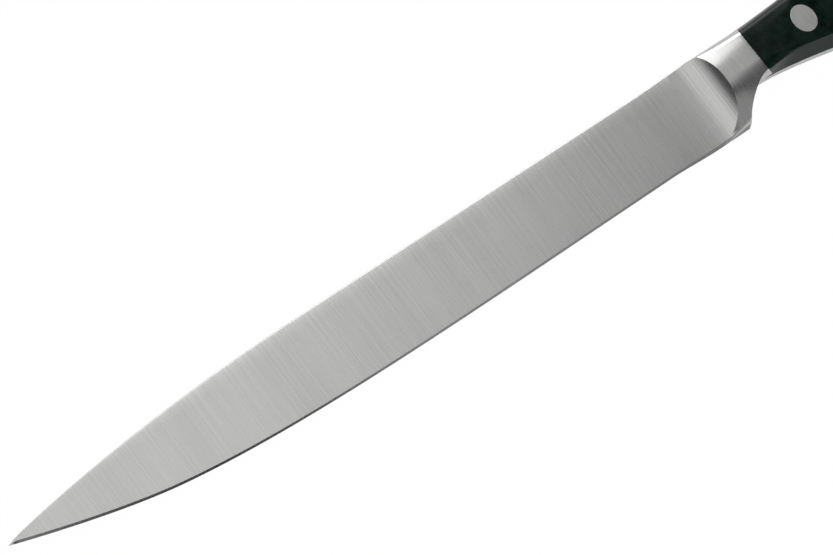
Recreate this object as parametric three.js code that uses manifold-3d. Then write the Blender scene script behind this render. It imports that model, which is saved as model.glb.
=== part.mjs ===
// Fillet knife: blade, bolster and full tang forged from one bar, two handle scales, three two-piece rivets.
// Millimetres. The knife lies on its right side: +X to the butt, +Y to the spine, +Z out of the left side.
// While it is drawn, x = 0 is the heel, y = 0 is the straight spine and z = 0 is the middle of the steel.

import * as THREE from 'three';
import { mergeVertices } from 'three/addons/utils/BufferGeometryUtils.js';
import Module from 'manifold-3d';

const wasm = await Module();
wasm.setup();

// Blade
const BLADE_LENGTH = 199.6; // heel to tip
const BLADE_HEIGHT = 19; // edge to spine where both run straight
const SPINE_THICKNESS = 1.95; // at full blade height, thinner where the blade narrows
const EDGE_THICKNESS = 0.4; // just above the ground edge
const EDGE_BEVEL = 0.7; // height of the ground edge
const TIP_DROP = 6.55; // tip below the spine line
const TIP_BLUNT = 0.12; // height left at the very tip
const EDGE_STRAIGHT = 55; // length of straight edge from the heel
const SPINE_STRAIGHT = 119; // length of straight spine from the heel
const TIP_TURN = 4.6; // length of the spine's quicker turn to the tip
const TIP_TURN_DROP = 1.1; // fall of the spine over that turn
const TIP_REACH = 1.3; // the turn's bend, ahead of the tip
const SPINE_REACH = 31; // how far the curved spine holds on to the straight one's direction
const SPINE_LEAD = 17; // how far back from the turn its slope shows
const SPINE_SLOPE = 0.159; // slope of the spine where the turn starts
const EDGE_REACH = 44.5; // how far the curved edge holds on to the straight one's direction
const EDGE_BEND = 38.6; // from the tip back to the middle of the edge's sweep
const EDGE_BEND_RISE = 3.7; // the edge's rise at that place
const EDGE_BEND_SLOPE = 0.131; // and its slope
const EDGE_BEND_LEAD = 26; // how far that slope shows towards the heel
const EDGE_BEND_REACH = 11; // and towards the tip
const EDGE_TIP_LEAD = 12.6; // how far back from the tip the edge's last slope shows
const EDGE_TIP_SLOPE = 0.29;
const HEEL_RUN = 20; // the edge starts to run down to the bolster's foot this far ahead of the heel
const HEEL_FLAT = 4; // and is level with it this far ahead
const SPINE_RUN = 16; // the spine starts to rise to the bolster this far ahead of the heel

// Bolster
const BOLSTER_LENGTH = 15.9; // heel to the handle's side joint
const BOLSTER_RISE = 0.3; // the bolster's spine above the blade's
const HEEL_DROP = 0.5; // the bolster's foot below the straight edge
const FOOT_LENGTH = 6.5; // foot under the heel
const FOOT_ROUND = 0.6; // radius of its rear corner
const FOOT_THICKNESS = 0.6; // flat left under the foot
const FOOT_SLOPE = 0.85; // how fast the chamfer above that flat widens
const FOOT_BLEND = 1.2; // rounding between that chamfer and the sides
const BELLY_CREST_DEPTH = 8.5; // depth from which the sides lean in towards the foot
const BELLY_TAPER = 0.11; // how much they have leaned in after the first millimetre
const BELLY_POWER = 1.25; // and how fast that grows
const FRONT_THICKNESS = 9.2; // across the front edge where it is fullest
const FRONT_CREST_DEPTH = 6.5; // depth of that fullest place
const FRONT_NARROWING = 1.7; // how much less it is on each side at the spine
const FRONT_END_DEPTH = 18.9; // depth at which the front has thinned down to the blade
const FRONT_POWER = 2.35; // how late it thins
const HOLLOW_TOE = 2.5; // the hollow front starts on the blade this far ahead of the heel
const HOLLOW_RADIUS = 10.4;
const TOE_BLEND = 1; // height above the foot over which that start comes forward from the heel
const SIDE_POWER = 1.3; // how early the sides swell behind the front edge
const FOOT_SIDE_POWER = 4; // same above the foot
const SIDE_BLEND_DEPTH = 10; // depth at which the sides start to change from one to the other
const FOOT_BLEND_DEPTH = 15.5; // and where they have changed
const THROAT_BLEND = 9; // the throat starts to take the belly's crown this far behind the heel
const THROAT_RADIUS = 8.5; // hollow behind the heel for the finger
const CROWN_DEPTH = 8.8; // from the spine to where the sides are fullest
const CROWN_SHARE = 0.2; // share of that depth that the crowned spine takes
const CROWN_POWER = 20; // how flat the sides are below it
const ROOT_DEPTH = 9; // how far the blade's body runs into the bolster at the spine

// Handle
const HANDLE_LENGTH = 112; // side joint to butt
const HANDLE_THICKNESS = 11;
const TANG_THICKNESS = 2.5;
const JOINT_RUN = 3.7; // the slanted joint reaches this far back at the tang
const FRONT_HEIGHT = 12.7; // spine to belly at the joint
const CREST_X = 42; // crest of the spine, behind the joint
const CREST_RISE = 1.5; // above the blade's spine
const SWELL_X = 48; // lowest place of the belly, behind the joint
const SWELL_DEPTH = 18.2; // below the blade's spine, as the depths after it
const WAIST_SETBACK = 30; // rear waist, ahead of the butt
const WAIST_DEPTH = 16.6;
const BEAK_SETBACK = 7; // hook under the butt, ahead of its end
const BEAK_DEPTH = 22.8;
const BUTT_DEPTH = 10; // depth of the rearmost place
const SPINE_END_SETBACK = 15; // where the spine starts to turn into the butt
const SPINE_END_DEPTH = 1.6;
const SPINE_END_SLOPE = 0.138;
const SPINE_START_SLOPE = 0.014; // the spine still rises a little behind the joint
const BELLY_START_SLOPE = 0.007; // and the belly falls a little
const START_REACH = 14; // how far those two slopes show
const CREST_LEAD = 16; // how far the crest runs level, ahead and behind
const CREST_REACH = 20;
const SPINE_END_LEAD = 16; // how far the spine's last slope shows, ahead and behind
const SPINE_END_REACH = 9;
const BUTT_LEAD = 5; // how far the butt runs upright, above and below its rearmost place
const BUTT_REACH = 6;
const BEAK_REACH = 5; // how far the hook's end runs level, on either side
const WAIST_REACH = 10; // same for the waist
const SWELL_LEAD = 14; // same for the swell, ahead and behind
const SWELL_REACH = 12;
const EDGE_ROUND = 2.3; // rounding of the grip's edges, measured on the side face
const BELLY_CROWN = 1; // same at the belly just behind the joint
const ROUND_BLEND = 20; // length over which the bolster's section turns into the grip's

// Rivets
const RIVET_SETBACK = 17.2; // front rivet behind the joint
const REAR_RIVET_SETBACK = 29; // rear rivet ahead of the butt
const RIVET_RISE = 0.25; // rivets above the grip's middle line
const HEAD_DIAMETER = 6.8;
const HEAD_THICKNESS = 1.8;
const SLEEVE_DIAMETER = 4.2;
const PIN_DIAMETER = 2.6;

// Clearances
const JOINT_CLEARANCE = 0.05; // scale to bolster
const RIVET_CLEARANCE = 0.1; // rivet to its holes, all round
const PIN_CLEARANCE = 0.05; // pin to sleeve, all round
const PIN_END_CLEARANCE = 0.3; // ends of pin and sleeve
const EMBED = 0.05; // depth by which united bodies run into each other
const CUT_MARGIN = 2; // how far cutting tools stand out of what they cut

// Worked out from the sizes above
const HALF_HANDLE = HANDLE_THICKNESS / 2;
const HALF_TANG = TANG_THICKNESS / 2;
const HALF_EDGE = EDGE_THICKNESS / 2;
const HALF_FOOT = FOOT_THICKNESS / 2;
const FOOT_Y = -BLADE_HEIGHT - HEEL_DROP;
const BELLY_Y = BOLSTER_RISE - FRONT_HEIGHT;
const WEDGE = (SPINE_THICKNESS / 2 - HALF_EDGE) / (BLADE_HEIGHT - EDGE_BEVEL);
const JOINT_SLOPE = JOINT_RUN / (HALF_HANDLE - HALF_TANG);
const BUTT_X = BOLSTER_LENGTH + HANDLE_LENGTH;
const BLADE_HEEL_END = FOOT_LENGTH / 2;
const SHOULDER_Y = EDGE_BEVEL - BLADE_HEIGHT;
const THROAT_Y = BELLY_Y - THROAT_RADIUS;
const THROAT_END = FOOT_LENGTH + Math.sqrt(THROAT_RADIUS ** 2 - (FOOT_Y - THROAT_Y) ** 2);

// Counts
const CURVE_STEPS = 9;
const LOOKUP_STEPS = 80;
const HEEL_STATIONS = 6;
const BLADE_STATIONS = 18;
const THROAT_LEVELS = 14;
const BELLY_LEVELS = 3;
const SIDE_LEVELS = 2;
const CROWN_LEVELS = 10;
const LEVEL_POWER = 2.5; // how much closer those levels lie at the spine
const ROUND_STEPS = 6;
const REAR_STEPS = 8;
const SOLVE_STEPS = 24;
const RIVET_SIDES = 28;
const MERGE_DISTANCE = 1e-4;

// Finishes
const satinSteel = new THREE.MeshStandardMaterial({ color: 0xb4b4b2, roughness: 0.38, metalness: 1 });
const blackPolymer = new THREE.MeshStandardMaterial({ color: 0x0d1614, roughness: 0.35, metalness: 0 });
const rivetSteel = new THREE.MeshStandardMaterial({ color: 0x9a9a97, roughness: 0.45, metalness: 1 });

const point = (x, y) => new THREE.Vector2(x, y);
const mix = THREE.MathUtils.lerp;
const ramp = THREE.MathUtils.smoothstep;
const clamp = THREE.MathUtils.clamp;

// Point at a run along x from another one, on a slope
const along = (from, run, slope = 0) => point(from.x + run, from.y + run * slope);

// Curve between two points that leaves the first one towards its handle and comes from the other handle
function curveThrough(start, startHandle, endHandle, end) {
  return new THREE.CubicBezierCurve(start, startHandle, endHandle, end);
}

// Height of a sampled curve at a given x
function heightAt(samples, x) {
  const rising = samples[0].x < samples[samples.length - 1].x;
  const ordered = rising ? samples : [...samples].reverse();
  const next = ordered.findIndex((sample) => sample.x >= x);
  if (next === -1) return ordered[ordered.length - 1].y;
  if (next === 0) return ordered[0].y;
  const [before, after] = [ordered[next - 1], ordered[next]];
  return mix(before.y, after.y, (x - before.x) / (after.x - before.x));
}

function signedArea([a, b, c]) {
  return (b.x - a.x) * (c.y - a.y) - (c.x - a.x) * (b.y - a.y);
}

// Triangles that close a ring, all turning the same way
function capTriangles(ring, flatten, turn) {
  const flat = ring.map(flatten);
  return THREE.ShapeUtils.triangulateShape(flat, []).map(([a, b, c]) => {
    const turnsLeft = signedArea([flat[a], flat[b], flat[c]]) > 0;
    return turnsLeft === turn ? [a, b, c] : [a, c, b];
  });
}

// Closed body through a stack of rings with equal counts, closed by flat caps at both ends
function skin(rings, flatten) {
  const count = rings[0].length;
  const corners = rings.flat();
  const triangles = [];
  for (let ring = 0; ring + 1 < rings.length; ring += 1) {
    for (let i = 0; i < count; i += 1) {
      const a = ring * count + i;
      const b = ring * count + ((i + 1) % count);
      triangles.push([a, b, b + count], [a, b + count, a + count]);
    }
  }
  const last = (rings.length - 1) * count;
  const left = THREE.ShapeUtils.area(rings[0].map(flatten)) > 0;
  triangles.push(...capTriangles(rings[0], flatten, !left));
  for (const triangle of capTriangles(rings[rings.length - 1], flatten, left)) {
    triangles.push(triangle.map((corner) => corner + last));
  }
  const volume = triangles.reduce((sum, [a, b, c]) => {
    const normal = new THREE.Vector3().crossVectors(corners[b], corners[c]);
    return sum + corners[a].dot(normal);
  }, 0);
  const outward = volume > 0 ? triangles : triangles.map(([a, b, c]) => [a, c, b]);
  const geometry = new THREE.BufferGeometry();
  geometry.setAttribute('position', new THREE.Float32BufferAttribute(corners.flatMap((c) => c.toArray()), 3));
  geometry.setIndex(outward.flat());
  return geometry;
}

// Solid for joining and cutting, from a closed geometry
function toSolid(geometry) {
  const bare = geometry.clone();
  bare.deleteAttribute('normal');
  bare.deleteAttribute('uv');
  const merged = mergeVertices(bare, MERGE_DISTANCE);
  const vertProperties = new Float32Array(merged.attributes.position.array);
  const triVerts = new Uint32Array(merged.index.array);
  return new wasm.Manifold(new wasm.Mesh({ numProp: 3, vertProperties, triVerts }));
}

function toGeometry(solid) {
  const { vertProperties, triVerts, numProp } = solid.getMesh();
  const geometry = new THREE.BufferGeometry();
  const corners = [];
  for (let i = 0; i < vertProperties.length; i += numProp) {
    corners.push(vertProperties[i], vertProperties[i + 1], vertProperties[i + 2]);
  }
  geometry.setAttribute('position', new THREE.Float32BufferAttribute(corners, 3));
  geometry.setIndex([...triVerts]);
  geometry.computeVertexNormals();
  return geometry;
}

// Blade outline, from the heel to the tip
const tip = point(-BLADE_LENGTH, -TIP_DROP);
const spineTurn = point(tip.x + TIP_TURN, tip.y + TIP_TURN_DROP);
const turnBend = along(spineTurn, TIP_REACH - TIP_TURN, SPINE_SLOPE);
const spineStart = point(-SPINE_STRAIGHT, 0);
const edgeStart = point(-EDGE_STRAIGHT, -BLADE_HEIGHT);
const edgeBend = point(tip.x + EDGE_BEND, -BLADE_HEIGHT + EDGE_BEND_RISE);
const bladeSpine = [
  point(0, 0),
  ...curveThrough(
    spineStart,
    along(spineStart, -SPINE_REACH),
    along(spineTurn, SPINE_LEAD, SPINE_SLOPE),
    spineTurn,
  ).getPoints(LOOKUP_STEPS),
  ...new THREE.QuadraticBezierCurve(spineTurn, turnBend, tip).getPoints(LOOKUP_STEPS),
];
const bladeEdge = [
  point(0, -BLADE_HEIGHT),
  ...curveThrough(
    edgeStart,
    along(edgeStart, -EDGE_REACH),
    along(edgeBend, EDGE_BEND_LEAD, -EDGE_BEND_SLOPE),
    edgeBend,
  ).getPoints(LOOKUP_STEPS),
  ...curveThrough(
    edgeBend,
    along(edgeBend, -EDGE_BEND_REACH, -EDGE_BEND_SLOPE),
    along(tip, EDGE_TIP_LEAD, -EDGE_TIP_SLOPE),
    tip,
  ).getPoints(LOOKUP_STEPS),
];

// Half thickness of the blade at a height above the shoulder of its ground edge
function bladeHalf(aboveShoulder) {
  return HALF_EDGE + Math.max(aboveShoulder, 0) * WEDGE;
}

// Blade section: square spine, flat sides down to the shoulder of the ground edge, and the edge itself
function bladeRing(spineX, edgeX, spineY, shoulderY, edgeY) {
  const top = bladeHalf(spineY - shoulderY);
  return [
    new THREE.Vector3(spineX, spineY, top),
    new THREE.Vector3(edgeX, shoulderY, HALF_EDGE),
    new THREE.Vector3(edgeX, edgeY, 0),
    new THREE.Vector3(edgeX, shoulderY, -HALF_EDGE),
    new THREE.Vector3(spineX, spineY, -top),
  ];
}

// Near the heel the spine rises to the bolster and the edge runs down to its foot
function bladeRingAt(spineX, edgeX) {
  const rise = BOLSTER_RISE * ramp(spineX, -SPINE_RUN, 0);
  const drop = HEEL_DROP * ramp(edgeX, -HEEL_RUN, -HEEL_FLAT);
  const spineY = heightAt(bladeSpine, spineX) + rise;
  const edgeY = heightAt(bladeEdge, edgeX);
  const bevel = Math.min(EDGE_BEVEL, (spineY - edgeY) / 2);
  return bladeRing(spineX, edgeX, spineY, edgeY + bevel, edgeY - drop);
}

function makeBlade() {
  const rings = [bladeRingAt(ROOT_DEPTH, BLADE_HEEL_END)];
  for (let i = 0; i <= HEEL_STATIONS; i += 1) {
    const x = -HEEL_RUN * (i / HEEL_STATIONS);
    rings.push(bladeRingAt(x, x));
  }
  const curved = BLADE_LENGTH - EDGE_STRAIGHT;
  for (let i = 0; i < BLADE_STATIONS; i += 1) {
    const x = -EDGE_STRAIGHT - curved * Math.sin((i / BLADE_STATIONS) * (Math.PI / 2));
    rings.push(bladeRingAt(x, x));
  }
  const half = TIP_BLUNT / 2;
  rings.push(bladeRing(tip.x, tip.x, tip.y + half, tip.y, tip.y - half));
  return skin(rings, (corner) => point(corner.y, corner.z));
}

// Place between two others where a rising measure reaches a value
function solve(measure, value, low, high) {
  let [near, far] = [low, high];
  for (let i = 0; i < SOLVE_STEPS; i += 1) {
    const middle = (near + far) / 2;
    const below = measure(middle) < value;
    near = below ? middle : near;
    far = below ? far : middle;
  }
  return near;
}

// How far below the spine the bolster's section is a given half thickness
function crownDrop(half) {
  const wide = half / HALF_HANDLE;
  return CROWN_DEPTH * mix(wide ** CROWN_POWER, wide ** 2, CROWN_SHARE);
}

// Half thickness of that section at a height
function crownHalf(y) {
  return solve(crownDrop, BOLSTER_RISE - y, 0, HALF_HANDLE);
}

// Half thickness of the same section towards the foot
function bellyHalf(y) {
  return HALF_HANDLE - BELLY_TAPER * Math.max(-BELLY_CREST_DEPTH - y, 0) ** BELLY_POWER;
}

// How far above the belly it is a given half thickness, and never less than the belly's own crown
function bellyDrop(half) {
  const below = ((HALF_HANDLE - half) / BELLY_TAPER) ** (1 / BELLY_POWER);
  const crown = BELLY_CROWN * (half / HALF_HANDLE) ** 2;
  return Math.max(-BELLY_CREST_DEPTH - below - BELLY_Y, crown);
}

// Half thickness of the blade that the hollow front starts from
function hollowBase(y) {
  if (y > SHOULDER_Y) return bladeHalf(y - SHOULDER_Y) - EMBED;
  return mix(EMBED, HALF_EDGE - EMBED, (y - FOOT_Y) / (SHOULDER_Y - FOOT_Y));
}

// Half thickness along the front edge
function frontHalf(y) {
  const full = FRONT_THICKNESS / 2;
  const below = Math.max((-FRONT_CREST_DEPTH - y) / (FRONT_END_DEPTH - FRONT_CREST_DEPTH), 0);
  const above = Math.max((y + FRONT_CREST_DEPTH) / (BOLSTER_RISE + FRONT_CREST_DEPTH), 0);
  const half = full - (full - HALF_EDGE) * below ** FRONT_POWER - FRONT_NARROWING * above ** 2;
  return Math.max(Math.min(half, crownHalf(y)), hollowBase(y) + EMBED);
}

// Half thickness of the side behind the front edge: it grows to the section at the handle, above a chamfer
function sideHalf(x, y, front) {
  const power = mix(FOOT_SIDE_POWER, SIDE_POWER, ramp(y, -FOOT_BLEND_DEPTH, -SIDE_BLEND_DEPTH));
  const grown = clamp((x - front) / (BOLSTER_LENGTH - front), 0, 1);
  const full = Math.min(crownHalf(y), bellyHalf(y));
  const swollen = mix(frontHalf(y), full, 1 - (1 - grown) ** power);
  const chamfer = HALF_FOOT + (y - FOOT_Y) * FOOT_SLOPE;
  const near = Math.max(FOOT_BLEND - Math.abs(swollen - chamfer), 0);
  return Math.max(Math.min(swollen, chamfer) - near ** 2 / (4 * FOOT_BLEND), EMBED);
}

// Height of the finger hollow, crowned like the belly where it nears the handle
function throatTop(x, half) {
  const arc = THROAT_Y + Math.sqrt(Math.max(THROAT_RADIUS ** 2 - (x - THROAT_END) ** 2, 0));
  return arc + BELLY_CROWN * (half / HALF_HANDLE) ** 2 * ramp(x, THROAT_BLEND, THROAT_END);
}

// How far back the steel reaches over the finger hollow
function throatX(y, half) {
  const reach = solve((x) => throatTop(x, half), y, FOOT_LENGTH, THROAT_END);
  const inCorner = Math.max(1 - (y - FOOT_Y) / FOOT_ROUND, 0);
  return reach - FOOT_ROUND * (1 - Math.sqrt(1 - inCorner ** 2));
}

function jointX(half) {
  return BOLSTER_LENGTH + (HALF_HANDLE - half) * JOINT_SLOPE;
}

// Rear of a level cut from the side to the middle: the throat, the slanted joint, or one after the other
function bolsterRear(y, front) {
  const jointTop = HALF_HANDLE * Math.sqrt(clamp((y - BELLY_Y) / BELLY_CROWN, 0, 1));
  const rearX = (half) => (half > jointTop ? throatX(y, half) : jointX(half));
  let half = HALF_HANDLE;
  for (let i = 0; i < SOLVE_STEPS; i += 1) {
    half = sideHalf(rearX(half), y, front);
  }
  const turn = Math.min(Math.max(jointTop, EMBED), half);
  const neck = Math.min(HALF_TANG, turn) - EMBED;
  const spread = (from, to, steps) => Array.from({ length: steps }, (_, i) => mix(from, to, i / (steps - 1)));
  const onThroat = (z) => point(throatX(y, z), z);
  const onJoint = (z) => point(jointX(z), z);
  if (y <= BELLY_Y) return spread(half, EMBED, REAR_STEPS).map(onThroat);
  if (half <= jointTop) return spread(half, neck, REAR_STEPS).map(onJoint);
  const part = REAR_STEPS / 2;
  return [...spread(half, turn, part).map(onThroat), ...spread(turn, neck, part).map(onJoint)];
}

// Level cut through the bolster: hollow front, full sides, and the throat or the slanted joint behind
function bolsterRing(y) {
  const base = hollowBase(y);
  const toe = -HOLLOW_TOE * ramp(y, FOOT_Y, FOOT_Y + TOE_BLEND);
  const last = Math.acos(1 - (frontHalf(y) - base) / HOLLOW_RADIUS);
  const front = toe + HOLLOW_RADIUS * Math.sin(last);
  const upper = [];
  for (let i = 0; i <= ROUND_STEPS; i += 1) {
    const angle = last * (i / ROUND_STEPS);
    upper.push(point(toe + HOLLOW_RADIUS * Math.sin(angle), base + HOLLOW_RADIUS * (1 - Math.cos(angle))));
  }
  const rear = bolsterRear(y, front);
  for (let i = 1; i < ROUND_STEPS; i += 1) {
    const x = mix(front, rear[0].x, i / ROUND_STEPS);
    upper.push(point(x, sideHalf(x, y, front)));
  }
  upper.push(...rear);
  const lower = [...upper].reverse().map((corner) => point(corner.x, -corner.y));
  return [...upper, ...lower].map((corner) => new THREE.Vector3(corner.x, y, corner.y));
}

function makeBolster() {
  const levels = [];
  for (let i = 0; i <= THROAT_LEVELS; i += 1) {
    levels.push(mix(FOOT_Y, BELLY_Y, (1 - Math.cos((i / THROAT_LEVELS) * Math.PI)) / 2));
  }
  for (let i = 1; i < BELLY_LEVELS; i += 1) {
    levels.push(BELLY_Y + BELLY_CROWN * (i / BELLY_LEVELS) ** 2);
  }
  for (let i = 0; i <= SIDE_LEVELS; i += 1) {
    levels.push(mix(BELLY_Y + BELLY_CROWN, BOLSTER_RISE - CROWN_DEPTH, i / SIDE_LEVELS));
  }
  for (let i = 1; i <= CROWN_LEVELS; i += 1) {
    levels.push(BOLSTER_RISE - CROWN_DEPTH * (1 - i / CROWN_LEVELS) ** LEVEL_POWER - EMBED);
  }
  return skin(levels.map(bolsterRing), (corner) => point(corner.x, corner.z));
}

// Grip outline, from the front of the spine round the butt and back along the belly
const behind = (x, y) => point(BOLSTER_LENGTH + x, y);
const ahead = (x, y) => point(BUTT_X - x, y);
const spineFront = behind(0, BOLSTER_RISE);
const bellyFront = behind(0, BELLY_Y);
const crest = behind(CREST_X, CREST_RISE);
const spineEnd = ahead(SPINE_END_SETBACK, -SPINE_END_DEPTH);
const butt = ahead(0, -BUTT_DEPTH);
const beak = ahead(BEAK_SETBACK, -BEAK_DEPTH);
const waist = ahead(WAIST_SETBACK, -WAIST_DEPTH);
const swell = behind(SWELL_X, -SWELL_DEPTH);
const spineCurves = [
  curveThrough(
    spineFront,
    along(spineFront, START_REACH, SPINE_START_SLOPE),
    along(crest, -CREST_LEAD),
    crest,
  ),
  curveThrough(
    crest,
    along(crest, CREST_REACH),
    along(spineEnd, -SPINE_END_LEAD, -SPINE_END_SLOPE),
    spineEnd,
  ),
];
const buttCurves = [
  curveThrough(
    spineEnd,
    along(spineEnd, SPINE_END_REACH, -SPINE_END_SLOPE),
    point(butt.x, butt.y + BUTT_LEAD),
    butt,
  ),
  curveThrough(butt, point(butt.x, butt.y - BUTT_REACH), along(beak, BEAK_REACH), beak),
];
const bellyCurves = [
  curveThrough(beak, along(beak, -BEAK_REACH), along(waist, WAIST_REACH), waist),
  curveThrough(waist, along(waist, -WAIST_REACH), along(swell, SWELL_REACH), swell),
  curveThrough(
    swell,
    along(swell, -SWELL_LEAD),
    along(bellyFront, START_REACH, -BELLY_START_SLOPE),
    bellyFront,
  ),
];

const sampled = (curves) => curves.flatMap((curve) => curve.getPoints(CURVE_STEPS).slice(0, -1));

// The outline reaches forward of the joint as far as a piece needs it to
function gripOutline(foremost) {
  return [
    point(foremost, BOLSTER_RISE),
    ...sampled([...spineCurves, ...buttCurves, ...bellyCurves]),
    bellyFront,
    point(foremost, BELLY_Y),
  ];
}

// Rivet centres on the middle line of the grip
function rivetCentres() {
  const front = BOLSTER_LENGTH + RIVET_SETBACK;
  const rear = BUTT_X - REAR_RIVET_SETBACK;
  const spine = spineCurves.flatMap((curve) => curve.getPoints(LOOKUP_STEPS));
  const belly = bellyCurves.flatMap((curve) => curve.getPoints(LOOKUP_STEPS));
  return [front, (front + rear) / 2, rear].map((x) => {
    const middleLine = (heightAt(spine, x) + heightAt(belly, x)) / 2;
    return point(x, middleLine + RIVET_RISE);
  });
}

const centres = rivetCentres();

function makeTang() {
  const outline = new THREE.Shape(gripOutline(BOLSTER_LENGTH - JOINT_RUN));
  for (const centre of centres) {
    const hole = new THREE.Path();
    hole.absarc(centre.x, centre.y, SLEEVE_DIAMETER / 2 + RIVET_CLEARANCE, 0, Math.PI * 2, false);
    outline.holes.push(hole);
  }
  const options = { depth: TANG_THICKNESS, bevelEnabled: false, curveSegments: RIVET_SIDES };
  return new THREE.ExtrudeGeometry(outline, options).translate(0, 0, -HALF_TANG);
}

function makeForging() {
  return toGeometry(toSolid(makeBlade()).add(toSolid(makeBolster())).add(toSolid(makeTang())));
}

// Inward directions along an outline that is walked clockwise
function inwardDirections(outline) {
  return outline.map((corner, i) => {
    const before = outline[(i + outline.length - 1) % outline.length];
    const after = outline[(i + 1) % outline.length];
    const forward = point(after.x - before.x, after.y - before.y).normalize();
    return point(forward.y, -forward.x);
  });
}

const onSpineSide = (corner) => corner.y > (BOLSTER_RISE + BELLY_Y) / 2;

// How far the grip's edge has drawn in at a share of the scale's height: flush at the joint, rounded behind
function drawnIn(corner, share) {
  const rounded = ramp(corner.x, BOLSTER_LENGTH, BOLSTER_LENGTH + ROUND_BLEND);
  const half = mix(HALF_TANG, HALF_HANDLE, share);
  const atJoint = onSpineSide(corner) ? crownDrop(half) : bellyDrop(half);
  return mix(atJoint, EDGE_ROUND * (1 - Math.sqrt(1 - share * share)), rounded);
}

function makeScaleBlank() {
  const outline = gripOutline(BOLSTER_LENGTH - CUT_MARGIN);
  const inward = inwardDirections(outline);
  const rings = [];
  for (let step = 0; step <= ROUND_STEPS; step += 1) {
    const share = Math.sin((step / ROUND_STEPS) * (Math.PI / 2));
    rings.push(outline.map((corner, i) => {
      const shift = drawnIn(corner, share);
      const square = point(0, onSpineSide(corner) ? -1 : 1);
      const direction = corner.x < BOLSTER_LENGTH ? square : inward[i];
      const moved = corner.clone().addScaledVector(direction, shift);
      return new THREE.Vector3(moved.x, moved.y, mix(HALF_TANG, HALF_HANDLE, share));
    }));
  }
  return skin(rings, (corner) => point(corner.x, corner.y));
}

// Tool that cuts the front of a scale to the slanted joint
function makeJointTool() {
  const foreX = BOLSTER_LENGTH - JOINT_RUN - CUT_MARGIN;
  const clear = JOINT_CLEARANCE * Math.hypot(1, JOINT_SLOPE);
  const low = HALF_TANG - CUT_MARGIN;
  const high = HALF_HANDLE + CUT_MARGIN;
  const section = new THREE.Shape([
    point(foreX, low),
    point(jointX(low) + clear, low),
    point(jointX(high) + clear, high),
    point(foreX, high),
  ]);
  const depth = FRONT_HEIGHT + 2 * CUT_MARGIN;
  const tool = new THREE.ExtrudeGeometry(section, { depth, bevelEnabled: false });
  return tool.rotateX(Math.PI / 2).translate(0, BOLSTER_RISE + CUT_MARGIN, 0);
}

function makeRod(diameter, fromZ, toZ, centre) {
  const rod = new THREE.CylinderGeometry(diameter / 2, diameter / 2, toZ - fromZ, RIVET_SIDES);
  return rod.rotateX(Math.PI / 2).translate(centre.x, centre.y, (fromZ + toZ) / 2);
}

function makeLeftScale() {
  let scale = toSolid(makeScaleBlank()).subtract(toSolid(makeJointTool()));
  for (const centre of centres) {
    const top = HALF_HANDLE + CUT_MARGIN;
    const shank = makeRod(SLEEVE_DIAMETER + 2 * RIVET_CLEARANCE, 0, top, centre);
    const seat = makeRod(HEAD_DIAMETER + 2 * RIVET_CLEARANCE, HALF_HANDLE - HEAD_THICKNESS, top, centre);
    scale = scale.subtract(toSolid(shank)).subtract(toSolid(seat));
  }
  return toGeometry(scale);
}

function mirrored(geometry) {
  const other = geometry.clone().scale(1, 1, -1);
  const corners = other.index.array;
  for (let i = 0; i < corners.length; i += 3) {
    [corners[i + 1], corners[i + 2]] = [corners[i + 2], corners[i + 1]];
  }
  other.computeVertexNormals();
  return other;
}

function turned(profile) {
  return new THREE.LatheGeometry(profile, RIVET_SIDES).rotateX(Math.PI / 2);
}

// Post: flush head on the left side and a solid pin
function makePost() {
  const seat = HALF_HANDLE - HEAD_THICKNESS;
  const pin = PIN_DIAMETER / 2 - PIN_CLEARANCE;
  return turned([
    point(0, -seat + PIN_END_CLEARANCE),
    point(pin, -seat + PIN_END_CLEARANCE),
    point(pin, seat),
    point(HEAD_DIAMETER / 2, seat),
    point(HEAD_DIAMETER / 2, HALF_HANDLE),
    point(0, HALF_HANDLE),
  ]);
}

// Sleeve: flush head on the right side and a tube that takes the pin
function makeSleeve() {
  const seat = HALF_HANDLE - HEAD_THICKNESS;
  return turned([
    point(0, -HALF_HANDLE),
    point(HEAD_DIAMETER / 2, -HALF_HANDLE),
    point(HEAD_DIAMETER / 2, -seat),
    point(SLEEVE_DIAMETER / 2, -seat),
    point(SLEEVE_DIAMETER / 2, seat - PIN_END_CLEARANCE),
    point(PIN_DIAMETER / 2, seat - PIN_END_CLEARANCE),
    point(PIN_DIAMETER / 2, -seat),
    point(0, -seat),
  ]);
}

const drawing = new THREE.Group();

function addPiece(name, geometry, material, centre = point(0, 0)) {
  const piece = new THREE.Mesh(geometry, material);
  piece.name = name;
  piece.position.set(centre.x, centre.y, 0);
  drawing.add(piece);
}

const leftScale = makeLeftScale();
addPiece('forged_blade', makeForging(), satinSteel);
addPiece('left_scale', leftScale, blackPolymer);
addPiece('right_scale', mirrored(leftScale), blackPolymer);
['front', 'middle', 'rear'].forEach((place, i) => {
  addPiece(`rivet_${place}_post`, makePost(), rivetSteel, centres[i]);
  addPiece(`rivet_${place}_sleeve`, makeSleeve(), rivetSteel, centres[i]);
});

// The finished knife stands with its origin under the middle of its bounding box
const box = new THREE.Box3().setFromObject(drawing);
const middle = box.getCenter(new THREE.Vector3());
drawing.position.set(-middle.x, -middle.y, -box.min.z);

const knife = new THREE.Group();
knife.add(drawing);

export default knife;
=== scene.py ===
"""A forged fillet knife with a riveted black handle, dressed over its CAD frame.

The knife lies on its right side. Its sizes are millimetres in the knife's own drawing: x = 0 is the heel
and +x runs to the butt, y = 0 is the blade's straight spine and +y points out of it, z = 0 is the middle
of the steel and +z points out of the left side, which faces up.
"""

import logging
import math
from bisect import bisect_right
from dataclasses import dataclass
from enum import Enum
from functools import cached_property
from typing import Any, Callable, Sequence

import bmesh
import bpy
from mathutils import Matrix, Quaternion, Vector
from mathutils.geometry import interpolate_bezier


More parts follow.
